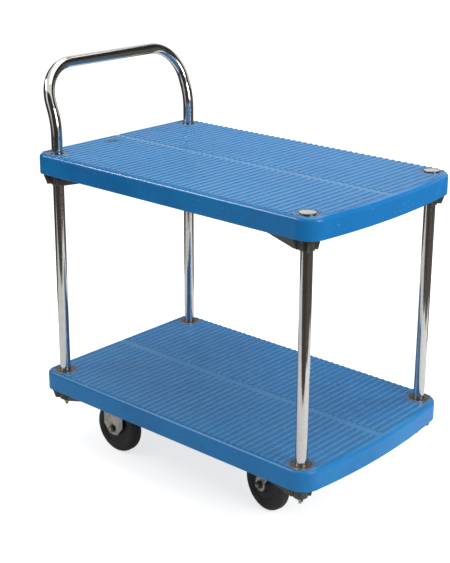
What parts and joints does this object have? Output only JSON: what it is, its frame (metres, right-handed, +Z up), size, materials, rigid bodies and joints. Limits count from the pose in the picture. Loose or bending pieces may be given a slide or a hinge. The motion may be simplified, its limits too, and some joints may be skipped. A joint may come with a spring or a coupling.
{
  "type": "storage trolley",
  "caption": "Tiered storage trolley with moulded ribbed decks on tube posts, a bent tube push handle, and fixed and swivel castors.",
  "frame": {"origin": "on the floor, midway between the posts in both directions", "axes": "+X towards the bowed front end with the swivel castors, the handle at -X, +Y across, +Z up"},
  "size_m": [0.8197, 0.494, 0.916],
  "materials": {
    "deck_plastic": "blue moulded plastic, satin",
    "tube_chrome": "chromed steel tube",
    "cap_chrome": "domed chromed caps",
    "ring_steel": "dull, rusty steel rings",
    "bracket_plastic": "dark olive grey moulded plastic",
    "bolt_steel": "plain steel fasteners",
    "zinc_plate": "zinc plated fasteners",
    "castor_zinc": "zinc plated pressed steel",
    "tyre_rubber": "black rubber",
    "core_plastic": "dark moulded wheel core",
    "bush_steel": "turned steel bush"
  },
  "bodies": {
    "frame": {"upper_deck": "deck_plastic", "lower_deck": "deck_plastic", "handle_tube": "tube_chrome", "post_front_near": "tube_chrome", "post_front_far": "tube_chrome", "cap_front_near": "cap_chrome", "cap_front_far": "cap_chrome", "rings_upper": "ring_steel", "rings_lower": "ring_steel", "bracket_upper_rear_near": "bracket_plastic", "bracket_upper_rear_far": "bracket_plastic", "bracket_upper_front_near": "bracket_plastic", "bracket_upper_front_far": "bracket_plastic", "bracket_lower_rear_near": "bracket_plastic", "bracket_lower_rear_far": "bracket_plastic", "bracket_lower_front_near": "bracket_plastic", "bracket_lower_front_far": "bracket_plastic", "bracket_screws": "bolt_steel", "clamp_screws": "bolt_steel", "tube_plugs": "bolt_steel", "foot_studs": "zinc_plate", "foot_washers": "zinc_plate", "foot_nuts": "zinc_plate", "castor_screws": "zinc_plate", "rear_fork_near": "castor_zinc", "rear_fork_far": "castor_zinc", "rear_axles": "bolt_steel", "rear_axle_nuts": "bolt_steel", "swivel_plate_near": "castor_zinc", "swivel_plate_far": "castor_zinc", "kingpins": "bolt_steel", "swivel_balls": "bolt_steel"},
    "swivel_near": {"front_fork_near": "castor_zinc", "front_axle_near": "bolt_steel", "front_axle_nuts_near": "bolt_steel"},
    "swivel_far": {"front_fork_far": "castor_zinc", "front_axle_far": "bolt_steel", "front_axle_nuts_far": "bolt_steel"},
    "wheel_rear_near": {"tyre_rear_near": "tyre_rubber", "core_rear_near": "core_plastic", "bush_rear_near": "bush_steel"},
    "wheel_rear_far": {"tyre_rear_far": "tyre_rubber", "core_rear_far": "core_plastic", "bush_rear_far": "bush_steel"},
    "wheel_front_near": {"tyre_front_near": "tyre_rubber", "core_front_near": "core_plastic", "bush_front_near": "bush_steel"},
    "wheel_front_far": {"tyre_front_far": "tyre_rubber", "core_front_far": "core_plastic", "bush_front_far": "bush_steel"}
  },
  "joints": [
    {"name": "rear_wheel_near_spin", "type": "hinge", "parent": "frame", "child": "wheel_rear_near", "pos_m": [-0.233, -0.156, 0.0625], "axis": [0, 1, 0], "continuous": true},
    {"name": "rear_wheel_far_spin", "type": "hinge", "parent": "frame", "child": "wheel_rear_far", "pos_m": [-0.233, 0.156, 0.0625], "axis": [0, 1, 0], "continuous": true},
    {"name": "front_swivel_near", "type": "hinge", "parent": "frame", "child": "swivel_near", "pos_m": [0.24, -0.141, 0.145], "axis": [0, 0, 1], "continuous": true},
    {"name": "front_wheel_near_spin", "type": "hinge", "parent": "swivel_near", "child": "wheel_front_near", "pos_m": [0.20283, -0.1331, 0.0625], "axis": [0.2079, 0.9781, 0], "continuous": true},
    {"name": "front_swivel_far", "type": "hinge", "parent": "frame", "child": "swivel_far", "pos_m": [0.24, 0.141, 0.145], "axis": [0, 0, 1], "continuous": true},
    {"name": "front_wheel_far_spin", "type": "hinge", "parent": "swivel_far", "child": "wheel_front_far", "pos_m": [0.20283, 0.1489, 0.0625], "axis": [0.2079, 0.9781, 0], "continuous": true}
  ]
}
